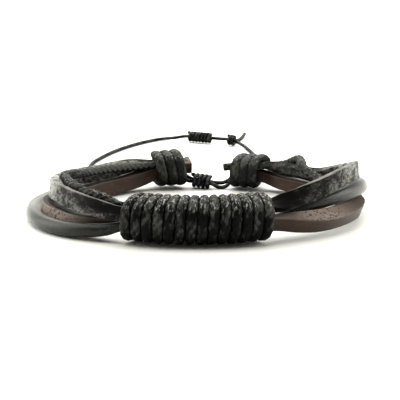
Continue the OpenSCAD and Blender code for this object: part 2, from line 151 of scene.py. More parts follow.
# Where the lace is pale and pitted: angle, its top, its outer face. Below 0 it is blackened as painted shade,
# in the gap between the lace and the strap
LACE_FACE_AND_SHADE = [
    (-180, 1, 0.7), (-172, 0.8, 0.5), (-160, 0.2, 0.1), (-112, 0, 0.15), (-98, -0.5, 0.9), (-84, -1, 1.25),
    (-66, -1, 1.2), (-56, -1, 0.95), (-50, -0.9, 0.6), (-43, -0.6, 0.2), (-36, -0.3, 0), (-12, 0, 0),
    (34, 0.25, 0), (42, 0.8, 0), (52, 0.85, 0.1), (62, 0.3, 0.2), (74, 0.1, 0.3), (90, 0.3, 0.6),
    (108, 0.15, 0.2), (150, 0.05, 0.05), (180, 0, 0),
]
# Where the strap's cut top edge is pale, partly its own colour and partly painted highlight from the light
# above: angle, how pale
EDGE_PALE_AND_HIGHLIGHT = [
    (-180, 0.05), (-84, 0.05), (-72, 0.9), (-50, 0.8), (-28, 0.55), (-22, 0.3), (28, 0.3), (38, 1), (98, 1),
    (108, 0.05), (180, 0.05),
]
# Where the waxed strand is flecked with wax: angle, how much
STRAND_WEAR = [(-125, 0.3), (-100, 0.5), (-40, 0.7), (60, 0.6), (110, 0.42)]
# Relief of each leather, in metres: depth and size of its waves, depth and size of its pits
RELIEF = {
    "flat_strap": (0.00014, 0.002, 0.00006, 0.0007),
    "brown_lace": (0.00014, 0.003, 0.00005, 0.0008),
    "round_cord": (0.00008, 0.004, 0.0, 0.0006),
}
# Coils of the knots: start, end, half width and half height, turns
BARREL_COIL = (-2.2, 91.8, 1.6), (3.8, 88.5, 1.6), (1, 1), 7
END_COIL = (8.3, 86.1, 1.6), (10.1, 84.6, 1.55), (1, 1), 2
SLIDING_COIL = (-1, 26.45, 1.8), (2.9, 25.55, 1.5), (1.66, 1.18), 4


def read(rows, x, column):
    """Read a column of a table along a smooth curve through its rows, for an array of angles."""
    table = np.array(rows, float)
    xs, ys = table[:, 0], table[:, column]
    before = np.maximum(np.arange(len(xs)) - 1, 0)
    after = np.minimum(np.arange(len(xs)) + 1, len(xs) - 1)
    slopes = (ys[after] - ys[before]) / (xs[after] - xs[before])
    i = np.clip(np.searchsorted(xs, x, side="right") - 1, 0, len(xs) - 2)
    h = xs[i + 1] - xs[i]
    t = (x - xs[i]) / h
    return (
        ys[i] * (2 * t**3 - 3 * t**2 + 1)
        + ys[i + 1] * (3 * t**2 - 2 * t**3)
        + h * slopes[i] * (t**3 - 2 * t**2 + t)
        + h * slopes[i + 1] * (t**3 - t**2)
    )


def unit(v):
    return v / np.linalg.norm(v, axis=-1, keepdims=True)


def middle(angle):
    a = np.radians(angle)
    return read(PLAN, angle, 1)[:, None] * np.stack([np.sin(a), -np.cos(a), 0 * a], 1)


def outwards(angle):
    return unit(np.cross(middle(angle + 0.5) - middle(angle - 0.5), UP))


def place(angle, out, up):
    return middle(angle) + out[:, None] * outwards(angle) + up[:, None] * UP


def smoothed(route, steps):
    """A smooth path through the points of a given route."""
    p = np.array(route, float)
    last = len(p) - 1
    t = (np.arange(steps) / steps)[:, None]
    path = []
    for i in range(last):
        a, b, c, d = p[max(i - 1, 0)], p[i], p[i + 1], p[min(i + 2, last)]
        bend = 2 * b + (c - a) * t + (2 * a - 5 * b + 4 * c - d) * t**2 + (3 * b - a - 3 * c + d) * t**3
        path.append(0.5 * bend)
    return np.concatenate(path + [p[last:]])


def lengths(path):
    steps = np.linalg.norm(np.diff(path, axis=0), axis=1)
    return np.concatenate([[0], np.cumsum(steps)])


def new_object(name, mesh):
    piece = bpy.data.objects.new(name, mesh)
    bpy.context.scene.collection.objects.link(piece)
    return piece


def add_attribute(mesh, name, kind, values):
    attribute = mesh.attributes.new(name, kind, "POINT")
    attribute.data.foreach_set("vector" if kind == "FLOAT_VECTOR" else "value", np.ravel(values))


def apply_tree(piece, tree, values):
    """Run a Geometry Nodes tree on a piece and keep its result as a plain mesh."""
    modifier = piece.modifiers.new(tree.name, "NODES")
    modifier.node_group = tree
    sockets = {item.name: item.identifier for item in tree.interface.items_tree if item.in_out == "INPUT"}
    for name, value in values.items():
        modifier[sockets[name]] = value
    depsgraph = bpy.context.evaluated_depsgraph_get()
    result = bpy.data.meshes.new_from_object(piece.evaluated_get(depsgraph), depsgraph=depsgraph)
    piece.modifiers.remove(modifier)
    raw = piece.data
    piece.data = result
    bpy.data.meshes.remove(raw)
    result.name = piece.name


class Wiring:
    """Shorthand for wiring the nodes of self.tree, with inputs by name or number."""

    def feed(self, socket, value):
        """Link a socket to another, or fill it with a constant."""
        if isinstance(value, bpy.types.NodeSocket):
            self.tree.links.new(value, socket)
        else:
            socket.default_value = value

    def node(self, kind, inputs=None, **settings):
        node = self.tree.nodes.new(kind)
        for key, value in settings.items():
            setattr(node, key, value)
        for key, value in (inputs or {}).items():
            self.feed(node.inputs[key], value)
        return node

    def out(self, kind, inputs=None, **settings):
        """The first output of a new node."""
        return self.node(kind, inputs, **settings).outputs[0]

    def math(self, operation, *values):
        return self.out("ShaderNodeMath", dict(enumerate(values)), operation=operation)

    def span(self, value, low, high, out_low=0.0, out_high=1.0):
        keys = {"Value": value, "From Min": low, "From Max": high, "To Min": out_low, "To Max": out_high}
        return self.out("ShaderNodeMapRange", keys)


class Tree(Wiring):
    """A node group with named inputs and outputs."""

    def __init__(self, name, kind):
        self.tree = bpy.data.node_groups.new(name, kind)
        self.inlet = self.tree.nodes.new("NodeGroupInput")
        self.outlet = self.tree.nodes.new("NodeGroupOutput")

    def sockets(self, *rows, way="INPUT"):
        """Add sockets, each given by its name, its kind and perhaps its default."""
        for name, kind, *default in rows:
            item = self.tree.interface.new_socket(name, in_out=way, socket_type="NodeSocket" + kind)
            if default:
                item.default_value = default[0]

    def given(self, name):
        return self.inlet.outputs[name]

    def per_metre(self, name):
        """How often the size that is given fits into a metre, which is a texture's scale."""
        return self.math("DIVIDE", 1.0, self.given(name))

    def vector(self, operation, a, b):
        node = self.node("ShaderNodeVectorMath", {0: a, 1: b}, operation=operation)
        return node.outputs["Value" if operation == "DOT_PRODUCT" else "Vector"]

    def scaled(self, a, by):
        return self.out("ShaderNodeVectorMath", {0: a, "Scale": by}, operation="SCALE")

    def stretched(self, skin):
        """Skin coordinates, drawn out along the piece."""
        stretch = self.out("ShaderNodeCombineXYZ", {0: 1.0, 1: 1.0, 2: self.given("Stretch")})
        return self.vector("MULTIPLY", skin, stretch)

    def noise(self, spot, scale, detail=2.0, roughness=0.5):
        keys = {"Vector": spot, "Scale": scale, "Detail": detail, "Roughness": roughness}
        return self.out("ShaderNodeTexNoise", keys)

    def named(self, name, kind="FLOAT"):
        node = self.node("GeometryNodeInputNamedAttribute", {"Name": name}, data_type=kind)
        return node.outputs["Attribute"]

    def store(self, geometry, name, value, kind="FLOAT"):
        keys = {"Geometry": geometry, "Name": name, "Value": value}
        return self.out("GeometryNodeStoreNamedAttribute", keys, data_type=kind, domain="POINT")

    def give(self, **values):
        """Put the outputs out."""
        for name, value in values.items():
            self.tree.links.new(value, self.outlet.inputs[name])
        return self.tree

    def give_piece(self, body):
        """Realize instances, set the material and put the piece out."""
        body = self.out("GeometryNodeRealizeInstances", {"Geometry": body})
        body = self.out("GeometryNodeSetMaterial", {"Geometry": body, "Material": self.given("Material")})
        return self.give(Geometry=body)


def cord_tree():
    """Plaited cord along a path: two sets of carriers that pass over and under each other."""
    t = Tree("Plaited cord", "GeometryNodeTree")
    t.sockets(
        ("Geometry", "Geometry"), ("Diameter", "Float", 0.002), ("Step", "Float", 0.0002),
        ("Sides", "Int", 24), ("Carriers", "Float", 4.0), ("Plait length", "Float", 0.0015),
        ("Relief", "Float", 0.00016), ("Material", "Material"),
    )
    t.sockets(("Geometry", "Geometry"), way="OUTPUT")
    line = t.out("GeometryNodeMeshToCurve", {"Mesh": t.given("Geometry")})
    line = t.out("GeometryNodeResampleCurve", {"Curve": line, "Length": t.given("Step")}, mode="LENGTH")
    line = t.store(line, "along", t.node("GeometryNodeSplineParameter").outputs["Length"])
    line = t.store(line, "centre", t.out("GeometryNodeInputPosition"), "FLOAT_VECTOR")
    radius = t.math("MULTIPLY", t.given("Diameter"), 0.5)
    ring = t.out("GeometryNodeCurvePrimitiveCircle", {"Resolution": t.given("Sides"), "Radius": radius})
    ring = t.store(ring, "round", t.node("GeometryNodeSplineParameter").outputs["Factor"])
    body = t.out("GeometryNodeCurveToMesh", {"Curve": line, "Profile Curve": ring, "Fill Caps": True})
    turn = t.math("MULTIPLY", t.named("round"), t.given("Carriers"))
    travel = t.math("DIVIDE", t.named("along"), t.given("Plait length"))
    right, left = t.math("ADD", turn, travel), t.math("SUBTRACT", turn, travel)
    cells = t.math("ADD", t.math("FLOOR", right), t.math("FLOOR", left))
    over = t.math("WRAP", cells, 2.0, 0.0)
    across = t.math("FRACT", right), t.math("FRACT", left)
    humps = []
    for mine, other in (across, across[::-1]):
        offset = t.math("MULTIPLY_ADD", mine, 2.0, -1.0)
        arch = t.math("SQRT", t.math("SUBTRACT", 1.02, t.math("MULTIPLY", offset, offset)))
        rise = t.math("SINE", t.math("MULTIPLY", other, math.pi))
        humps.append(t.math("MULTIPLY", arch, t.math("MULTIPLY_ADD", rise, 0.5, 0.5)))
    plait = t.out("ShaderNodeMix", {0: over, 2: humps[0], 3: humps[1]}, data_type="FLOAT")
    middle_line = t.named("centre", "FLOAT_VECTOR")
    spoke = t.vector("SUBTRACT", t.out("GeometryNodeInputPosition"), middle_line)
    sunk = t.math("MULTIPLY", t.math("SUBTRACT", 1.0, plait), t.given("Relief"))
    shrink = t.math("SUBTRACT", 1.0, t.math("DIVIDE", sunk, radius))
    spoke = t.scaled(spoke, t.math("MULTIPLY", shrink, t.named("girth")))
    axis = t.named("axis", "FLOAT_VECTOR")
    loss = t.math("SUBTRACT", t.named("room"), 1.0)
    squeeze = t.scaled(axis, t.math("MULTIPLY", t.vector("DOT_PRODUCT", spoke, axis), loss))
    spot = t.vector("ADD", t.vector("ADD", middle_line, spoke), squeeze)
    body = t.out("GeometryNodeSetPosition", {"Geometry": body, "Position": spot})
    angle = t.math("MULTIPLY", t.named("round"), 2 * math.pi)
    x = t.math("MULTIPLY", t.math("COSINE", angle), radius)
    y = t.math("MULTIPLY", t.math("SINE", angle), radius)
    skin = t.out("ShaderNodeCombineXYZ", {0: x, 1: y, 2: t.named("along")})
    normal = t.out("GeometryNodeInputNormal")
    body = t.store(body, "skin", skin, "FLOAT_VECTOR")
    body = t.store(body, "plait", plait)
    # Masks for the painted light and shade of the cord: how far each point faces up, and how far it faces a
    # neighbouring turn
    body = t.store(body, "upper", t.vector("DOT_PRODUCT", normal, (0.0, 0.0, 1.0)))
    body = t.store(body, "beside", t.math("ABSOLUTE", t.vector("DOT_PRODUCT", normal, axis)))
    return t.give_piece(body)


def hide_tree():
    """Uneven leather: soft waves, and pits pushed into the surface."""
    t = Tree("Leather relief", "GeometryNodeTree")
    t.sockets(
        ("Geometry", "Geometry"), ("Waves", "Float", 0.00005), ("Wave size", "Float", 0.002),
        ("Pits", "Float", 0.00005), ("Pit size", "Float", 0.0006), ("Stretch", "Float", 0.5),
        ("Material", "Material"),
    )
    t.sockets(("Geometry", "Geometry"), way="OUTPUT")
    skin = t.stretched(t.named("skin", "FLOAT_VECTOR"))
    waves = t.noise(skin, t.per_metre("Wave size"))
    holes = t.span(t.noise(skin, t.per_metre("Pit size"), 3.0), 0.3, 0.47, -1.0, 0.0)
    lift = t.math("MULTIPLY", t.math("SUBTRACT", waves, 0.5), t.given("Waves"))
    lift = t.math("ADD", lift, t.math("MULTIPLY", holes, t.given("Pits")))
    shift = t.scaled(t.out("GeometryNodeInputNormal"), lift)
    body = t.out("GeometryNodeSetPosition", {"Geometry": t.given("Geometry"), "Offset": shift})
    return t.give_piece(t.store(body, "pits", holes))


def strap_outline(width, thickness, ease, across, through, corner=4):
    """Section of a strap with rounded corners: its points, and which way each of them faces."""
    half = np.array([thickness / 2 - ease, width / 2 - ease])
    signs = ((1, 1), (-1, 1), (-1, -1), (1, -1))
    points, facing = [], []
    for quarter in range(4):
        centre, ahead = half * signs[quarter], half * signs[(quarter + 1) % 4]
        for k in range(corner + 1):
            angle = math.radians(90 * quarter + 90 * k / corner)
            facing.append(np.array([math.cos(angle), math.sin(angle)]))
            points.append(centre + ease * facing[-1])
        count = across if quarter % 2 else through
        for k in range(1, count):
            points.append(centre + (ahead - centre) * k / count + ease * facing[-1])
            facing.append(facing[-1])
    return np.array(points), np.array(facing)


def round_outline(diameter, sides=32):
    a = np.arange(sides) * 2 * math.pi / sides
    facing = np.stack([np.cos(a), np.sin(a)], 1)
    return diameter / 2 * facing, facing


def strand_mesh(name, rows, outline, facing, tones, shares, step=0.2, samples=800):
    """A leather strand swept from its table. Each share says how much of a tone each point takes."""
    coarse = np.linspace(rows[0][0], rows[-1][0], samples)
    along = lengths(place(coarse, read(rows, coarse, 1), read(rows, coarse, 2)))
    count = int(along[-1] / step)
    angles = np.interp(np.linspace(0, along[-1], count), along, coarse)
    path = place(angles, read(rows, angles, 1), read(rows, angles, 2))
    tangent = unit(np.gradient(path, axis=0))
    side = unit(np.cross(tangent, UP))
    top = np.cross(side, tangent)
    lean = np.radians(read(rows, angles, 3))[:, None]
    grip = read(rows, angles, 4)[:, None]
    x = grip * (outline[None, :, 0] * np.cos(lean) - outline[None, :, 1] * np.sin(lean))
    y = grip * (outline[None, :, 0] * np.sin(lean) + outline[None, :, 1] * np.cos(lean))
    points = path[:, None] + x[..., None] * side[:, None] + y[..., None] * top[:, None]
    n = len(outline)
    ring, turn = np.meshgrid(np.arange(count - 1) * n, np.arange(n), indexing="ij")
    a, b = (ring + turn).ravel(), (ring + (turn + 1) % n).ravel()
    faces = np.stack([a, b, b + n, a + n], 1).tolist()
    ends = np.concatenate([points[0].mean(0)[None], points[-1].mean(0)[None]])
    low, high = count * n, count * n + 1
    faces += [(low, (k + 1) % n, k) for k in range(n)]
    faces += [(high, (count - 1) * n + k, (count - 1) * n + (k + 1) % n) for k in range(n)]
    mesh = bpy.data.meshes.new(name)
    mesh.from_pydata((np.concatenate([points.reshape(-1, 3), ends]) * MM).tolist(), [], faces)
    travelled = lengths(path)
    skin = np.zeros((count, n, 3))
    skin[..., :2] = outline[None]
    skin[..., 2] = travelled[:, None]
    middle_skin = [[0, 0, travelled[0]], [0, 0, travelled[-1]]]
    add_attribute(mesh, "skin", "FLOAT_VECTOR", np.concatenate([skin.reshape(-1, 3), middle_skin]) * MM)
    upper = np.clip(facing[:, 1], 0, 1)
    tone = sum(read(tones, angles, k + 1)[:, None] * share[None] for k, share in enumerate(shares))
    add_attribute(mesh, "tone", "FLOAT", np.concatenate([tone.ravel(), [tone[0].mean(), tone[-1].mean()]]))
    # Only the upward rounding takes the pale edge, as painted highlight from above
    pale = np.interp(angles, *np.transpose(EDGE_PALE_AND_HIGHLIGHT))[:, None] * upper[None] ** EDGE_SHARPNESS
    add_attribute(mesh, "upper", "FLOAT", np.concatenate([pale.ravel(), [0, 0]]))
    mesh.shade_smooth()
    mesh.validate()
    return mesh


def path_mesh(name, path, axis=None, room=None, girth=1.0, blunt=0.0, wear=1.0):
    """A line of points that a cord follows, with its girth, rounded ends, squeeze along an axis and wear."""
    mesh = bpy.data.meshes.new(name)
    count = len(path)
    mesh.from_pydata((path * MM).tolist(), [(i, i + 1) for i in range(count - 1)], [])
    along = lengths(path)
    ends = np.minimum(along, along[-1] - along)
    if blunt:
        girth = girth * np.sqrt(np.clip(1 - np.clip(1 - ends / blunt, 0, 1) ** 2, END_RING, 1))
    add_attribute(mesh, "axis", "FLOAT_VECTOR", np.zeros((count, 3)) if axis is None else axis)
    add_attribute(mesh, "room", "FLOAT", np.ones(count) if room is None else room)
    add_attribute(mesh, "girth", "FLOAT", np.ones(count) * girth)
    add_attribute(mesh, "wear", "FLOAT", np.ones(count) * wear)
    return mesh


def winding_path(rows, cord, turns, start, bend, flat, tip, per_turn=72, roundness=2.7):
    """The line of a cord wound round the bundle, on a rounded oval that squeezes it on the wrist side."""
    i = np.arange(turns * per_turn + 1)
    angle = rows[0][0] + (rows[-1][0] - rows[0][0]) * i / i[-1]
    turn = np.radians(start + i * 360 / per_turn)
    half_depth = read(rows, angle, 3) + flat * cord / 2
    half_height = read(rows, angle, 4) + flat * cord / 2

    def bent(v):
        return np.sign(v) * np.abs(v) ** (2 / roundness)

    out = half_depth * bent(np.cos(turn))
    up = half_height * bent(np.sin(turn))
    tipped = angle + tip * up / read(rows, angle, 4)
    path = place(tipped, read(rows, angle, 1) + out, read(rows, angle, 2) + up)
    axis = np.cross(UP, outwards(angle))
    room = (bend + out) / (bend + read(rows, angle, 3) + cord)
    return path, axis, room


def coil_path(start, end, half, turns, per_turn=36, first=90):
    """The line of a thin cord coiled round a straight stretch."""
    start, end = np.array(start, float), np.array(end, float)
    axis = unit(end - start)
    side = unit(np.cross(axis, UP))
    top = np.cross(side, axis)
    i = np.arange(turns * per_turn + 1)[:, None]
    turn = np.radians(first + i * 360 / per_turn)
    return start + (end - start) * i / i[-1] + half[0] * np.cos(turn) * side + half[1] * np.sin(turn) * top


def once(name, kind, build, *given):
    """A node tree or material is built once and reused."""
    store = bpy.data.materials if kind == "material" else bpy.data.node_groups
    return store.get(name) or build(*given)


def mottle_group():
    """Patches, flecks and grain for leather and cord, from the piece's own skin coordinates."""
    t = Tree("Mottle", "ShaderNodeTree")
    t.sockets(
        ("Skin", "Vector"), ("Stretch", "Float", 1.0), ("Patch size", "Float", 0.004),
        ("Fleck size", "Float", 0.0004), ("Fleck share", "Float", 0.5),
    )
    t.sockets(("Patches", "Float"), ("Flecks", "Float"), ("Grain", "Float"), way="OUTPUT")
    skin = t.stretched(t.given("Skin"))
    fleck_scale = t.per_metre("Fleck size")
    patches = t.noise(skin, t.per_metre("Patch size"), 4.0, 0.6)
    low = t.math("SUBTRACT", 1.0, t.given("Fleck share"))
    flecks = t.span(t.noise(skin, fleck_scale, 3.0, 0.6), low, t.math("ADD", low, 0.14))
    keys = {"Vector": skin, "Scale": t.math("MULTIPLY", fleck_scale, 1.3)}
    grain = t.out("ShaderNodeTexVoronoi", keys, feature="DISTANCE_TO_EDGE")
    return t.give(Patches=patches, Flecks=flecks, Grain=grain)


def pit_group():
    """Small dark pits of uneven size."""
    t = Tree("Pits", "ShaderNodeTree")
    t.sockets(("Skin", "Vector"), ("Size", "Float", 0.0006), ("Depth", "Float", 0.3))
    t.sockets(("Pits", "Float"), way="OUTPUT")
    squash = t.vector("MULTIPLY", t.given("Skin"), (1.0, 1.0, 0.85))
    scale = t.per_metre("Size")
    cells = t.node("ShaderNodeTexVoronoi", {"Vector": squash, "Scale": scale}).outputs["Distance"]
    wobble = t.noise(squash, t.math("MULTIPLY", scale, 0.6))
    reach = t.math("MULTIPLY", t.given("Depth"), t.math("MULTIPLY", wobble, 2.0))
    return t.give(Pits=t.span(cells, t.math("MULTIPLY", reach, 0.55), reach, 1.0, 0.0))


def colour(rgb):
    return (*rgb, 1.0)


class Finish(Wiring):
    """A material whose Principled shader is fed by mottle and the piece's own masks."""

    def __init__(self, name):
        self.material = bpy.data.materials.new(name)
        self.material.use_nodes = True
        self.tree = self.material.node_tree
        self.shader = self.tree.nodes["Principled BSDF"]

    def attribute(self, name, output="Fac"):
        return self.node("ShaderNodeAttribute", attribute_name=name).outputs[output]

    def group(self, name, build, keys):
        """Place a shared group on the piece's skin coordinates."""
        keys["Skin"] = self.attribute("skin", "Vector")
        return tuple(self.node("ShaderNodeGroup", keys, node_tree=once(name, "tree", build)).outputs)

    def mottle(self, stretch, patch, fleck, share):
        """Patches, flecks and grain."""
        keys = {"Stretch": stretch, "Patch size": patch, "Fleck size": fleck, "Fleck share": share}
        return self.group("Mottle", mottle_group, keys)

    def pits(self, size, depth):
        return self.group("Pits", pit_group, {"Size": size, "Depth": depth})[0]

    def mix(self, factor, a, b):
        """Mix two colours, each one a socket or a plain colour."""
        a, b = (c if isinstance(c, bpy.types.NodeSocket) else colour(c) for c in (a, b))
        return self.node("ShaderNodeMix", {0: factor, 6: a, 7: b}, data_type="RGBA").outputs[2]

    def times(self, a, b):
        return self.math("MULTIPLY", a, b)

    def plus(self, a, b):
        return self.math("ADD", a, b)

    def bump(self, height, strength, distance):
        keys = {"Height": height, "Strength": strength, "Distance": distance}
        self.feed(self.shader.inputs["Normal"], self.out("ShaderNodeBump", keys))

    def set(self, **values):
        for name, value in values.items():
            self.feed(self.shader.inputs[name.replace("_", " ").title().replace("Ior", "IOR")], value)
        return self.material


def worn_leather(name):
    look = bpy.context.scene.bracelet_finish
    f = Finish(name)
    patches, flecks, grain = f.mottle(stretch=0.6, patch=0.0014, fleck=0.00035, share=0.47)
    tone = f.attribute("tone")
    cover = f.times(tone, f.span(patches, 0.42, 0.58, 0.27, 1.85))
    cover = f.span(f.plus(cover, f.span(patches, 0.56, 0.68, 0, 0.07)), 0, 1.2, 0, 1.2)
    # Worn grey leather, with painted highlight on the turns at each side
    base = f.mix(cover, look.strap, look.strap_wear_and_highlight)
    base = f.mix(f.times(flecks, f.span(cover, 0, 0.5, 0, 0.6)), base, look.strap_fleck)
    base = f.mix(f.times(f.pits(size=0.0006, depth=0.44), 0.85), base, look.strap)
    # Pale cut top edge, partly painted highlight
    edge = f.times(f.attribute("upper"), f.span(patches, 0.3, 0.55, 0.55, 1))
    base = f.mix(edge, base, look.strap_edge_and_highlight)
    f.bump(grain, strength=0.4, distance=0.00008)
    rough = f.span(patches, 0.3, 0.7, 0.5, 0.68)
    worn = f.times(tone, f.span(patches, 0.42, 0.58, 0.2, 1))
    return f.set(
        base_color=base, roughness=rough, specular_ior_level=0.04, sheen_weight=worn, sheen_roughness=0.45
    )


def brown_leather(name):
    look = bpy.context.scene.bracelet_finish
    f = Finish(name)
    patches, flecks, grain = f.mottle(stretch=0.35, patch=0.0035, fleck=0.0003, share=0.5)
    tone = f.attribute("tone")
    pale = f.span(tone, 0, 1)
    spread = f.span(patches, 0.35, 0.65)
    deep = f.mix(spread, look.lace_dark, look.lace)
    face = f.mix(spread, look.lace_pale, look.lace_mauve)
    face = f.mix(f.times(flecks, 0.5), face, look.lace_mauve)
    base = f.mix(pale, deep, face)
    # Painted shade: below 0 the lace takes the round cord's black, as the gap between the lace and the strap
    base = f.mix(f.span(tone, -1, 0, 0.95, 0), base, look.round_cord)
    pits = f.times(f.pits(size=0.00062, depth=0.42), f.span(pale, 0.25, 0.8, 0.1, 1))
    base = f.mix(f.times(pits, 0.85), base, look.lace_pits)
    f.bump(f.plus(f.times(grain, 0.3), f.times(pits, -1.0)), strength=0.6, distance=0.00008)
    return f.set(base_color=base, roughness=f.span(pale, 0, 1, 0.38, 0.6), specular_ior_level=0.15)


def round_leather(name):
    look = bpy.context.scene.bracelet_finish
    f = Finish(name)
    patches, flecks, grain = f.mottle(stretch=0.4, patch=0.003, fleck=0.0003, share=0.42)
    tone = f.attribute("tone")
    cover = f.plus(f.times(tone, 0.9), f.span(patches, 0.36, 0.64, -0.06, 0.06))
    # Painted highlight on the round cord's side turns
    base = f.mix(f.span(cover, 0, 1), look.round_cord, look.round_highlight)
    base = f.mix(f.times(flecks, 0.15), base, look.strap_fleck)
    f.bump(grain, strength=0.12, distance=0.00004)
    rough = f.span(patches, 0.3, 0.7, 0.34, 0.46)
    worn = f.times(tone, 0.8)
    return f.set(
        base_color=base, roughness=rough, specular_ior_level=0.25, sheen_weight=worn, sheen_roughness=0.4
    )


def waxed_cord(name, fleck):
    look = bpy.context.scene.bracelet_finish
    f = Finish(name)
    patches, flecks = f.mottle(stretch=0.6, patch=0.0016, fleck=fleck, share=0.46)[:2]
    wear, upper = f.attribute("wear"), f.attribute("upper")
    dull = f.span(wear, 0.3, 0.48, 1.3, 0)
    high = f.span(f.plus(f.attribute("plait"), dull), 0.15, 0.7)
    # Painted shade: the low parts of the plait are darker
    base = f.mix(high, look.groove_shade, look.cord)
    # Painted sheen: dull grey patches laid into the colour, more where the cord is little worn, kept off the
    # underside and weaker in the plait's low parts
    sheen = f.times(f.plus(f.span(patches, 0.46, 0.6), dull), f.span(upper, -0.5, 0.1))
    base = f.mix(f.times(f.span(sheen, 0, 1), f.span(high, 0, 1, 0.1, 1)), base, look.sheen)
    # Wax flecks, mostly on the upper side and on the raised plait: partly the cord's own wax, partly painted
    # highlight from the light above
    share = f.plus(f.span(upper, 0.35, 0.75, 0.03, 1), f.span(patches, 0.35, 0.65, -0.1, 0.1))
    share = f.times(f.span(high, 0, 1, 0.2, 1), f.times(share, wear))
    base = f.mix(f.times(share, flecks), base, look.wax)
    # Painted shade on the sides of each turn, where the turns of a binding press together
    base = f.mix(f.span(f.attribute("beside"), 0.74, 0.96), base, look.groove_shade)
    f.bump(flecks, strength=0.6, distance=0.0001)
    rough = f.span(patches, 0.3, 0.7, 0.5, 0.68)
    return f.set(base_color=base, roughness=rough, specular_ior_level=0.06)


def hand_over(piece, node):
    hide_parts(node)
    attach(piece, "root")


def lay_cord(name, mesh, diameter, thin=False, rope=1.0):
    """A plaited, waxed cord along a line of points. Rope is how much deeper its plait is than usual."""
    sizes = bpy.context.scene.bracelet_cords
    finish, fleck = ("Thin waxed cord", 0.0002) if thin else ("Waxed plaited cord", 0.00038)
    piece = new_object(name, mesh)
    values = {
        "Diameter": diameter,
        "Step": sizes.thin_step if thin else sizes.step,
        "Sides": sizes.thin_sides if thin else sizes.sides,
        "Plait length": diameter * sizes.plait,
        "Relief": diameter * sizes.relief * rope,
        "Material": once(finish, "material", waxed_cord, finish, fleck),
    }
    apply_tree(piece, once("Plaited cord", "tree", cord_tree), values)
    for key in ("along", "round", "centre", "axis", "room", "girth"):
        attribute = piece.data.attributes.get(key)
        if attribute:
            piece.data.attributes.remove(attribute)
    piece.data.shade_smooth()
    return piece


def length_property(name, description, default):
    return bpy.props.FloatProperty(name=name, description=description, default=default, unit="LENGTH")


def number_property(name, description, default):
    return bpy.props.FloatProperty(name=name, description=description, default=default)


def count_property(name, description, default):
    return bpy.props.IntProperty(name=name, description=description, default=default)


def colour_property(name, description, default):
    return bpy.props.FloatVectorProperty(
        name=name, description=description, default=default, size=3, subtype="COLOR", min=0, max=1
    )


class LeatherSizes(bpy.types.PropertyGroup):
    strap_width: length_property("Strap width", "Width of the black flat strap", 0.0034)
    strap_thickness: length_property("Strap thickness", "Thickness of the black flat strap", 0.0014)
    lace_width: length_property("Lace width", "Width of the brown lace", 0.0034)
    lace_thickness: length_property("Lace thickness", "Thickness of the brown lace", 0.003)
    round_diameter: length_property("Round cord", "Diameter of the round leather cord", 0.0029)


class CordSizes(bpy.types.PropertyGroup):
    strand: length_property("Strand", "Diameter of the waxed strand beside the leather", 0.002)
    front: length_property("Front cord", "Diameter of the cord wound round the front", 0.00204)
    front_turns: count_property("Front turns", "Turns of the binding at the front", 14)
    ends: length_property("End cord", "Diameter of the cord wound round each end", 0.0019)
    end_turns: count_property("End turns", "Turns of each end binding", 3)
    flat: number_property("Flatness", "How thick a wound cord stays when it is pulled tight", 0.78)
    fullness: number_property(
        "Fullness", "How far the soft cord at the front fills the room between its turns", 1.06
    )
    end_fullness: number_property(
        "End fullness", "How far the cord of the end bindings fills that room", 1.24
    )
    thin: length_property("Thin cord", "Diameter of the cords that close the loop", 0.0009)
    plait: number_property("Plait length", "Length of one plait crossing, in cord diameters", 0.75)
    relief: number_property("Plait relief", "Depth of the plait, in cord diameters", 0.09)
    step: length_property("Step", "Distance between rings of the thick cords", 0.0002)
    thin_step: length_property("Thin step", "Distance between rings of the thin cords", 0.00012)
    sides: count_property("Sides", "Points round a thick cord", 28)
    thin_sides: count_property("Thin sides", "Points round a thin cord", 20)


class Finishes(bpy.types.PropertyGroup):
    strap: colour_property("Strap", "Black of the flat strap", (0.0025, 0.0023, 0.002))
    # Worn grey, also painted as highlight on the strap's side turns
    strap_wear_and_highlight: colour_property("Worn strap", "Grey where the strap is worn", (0.26, 0.262, 0.236))
    strap_fleck: colour_property("Strap flecks", "Paler flecks of the black leather", (0.27, 0.272, 0.25))
    # Pale cut edge, also used as painted highlight on the strap's top
    strap_edge_and_highlight: colour_property("Strap edge", "Cut edge on top of the strap", (0.15, 0.149, 0.138))
    lace: colour_property("Lace", "Brown of the smooth side of the lace", (0.042, 0.0225, 0.016))
    lace_dark: colour_property("Dark lace", "Reddish brown in the smooth side", (0.02, 0.011, 0.0078))
    lace_pale: colour_property("Lace face", "Beige of the pitted face", (0.265, 0.211, 0.187))
    lace_mauve: colour_property("Lace patches", "Mauve brown patches of that face", (0.165, 0.122, 0.1))
    lace_pits: colour_property("Lace pits", "Dark of the pits in the lace", (0.02, 0.013, 0.011))
    round_cord: colour_property("Round cord", "Black of the round cord", (0.002, 0.002, 0.0018))
    # Grey painted as highlight on the round cord's turns
    round_highlight: colour_property("Worn round cord", "Grey of its worn turns", (0.125, 0.127, 0.114))
    cord: colour_property("Cord", "Black of the waxed cord", (0.002, 0.002, 0.0018))
    # Painted shade in the plait and between the turns
    groove_shade: colour_property("Cord grooves", "Black between the plaits", (0.001, 0.001, 0.001))
    # Painted sheen on the sides of the cord
    sheen: colour_property("Cord sheen", "Dull grey patches on the sides of the cord", (0.055, 0.0555, 0.051))
    # Wax flecks, partly painted highlight on the cord's upper side
    wax: colour_property("Wax", "Grey flecks of wax on the cord", (0.41, 0.412, 0.383))


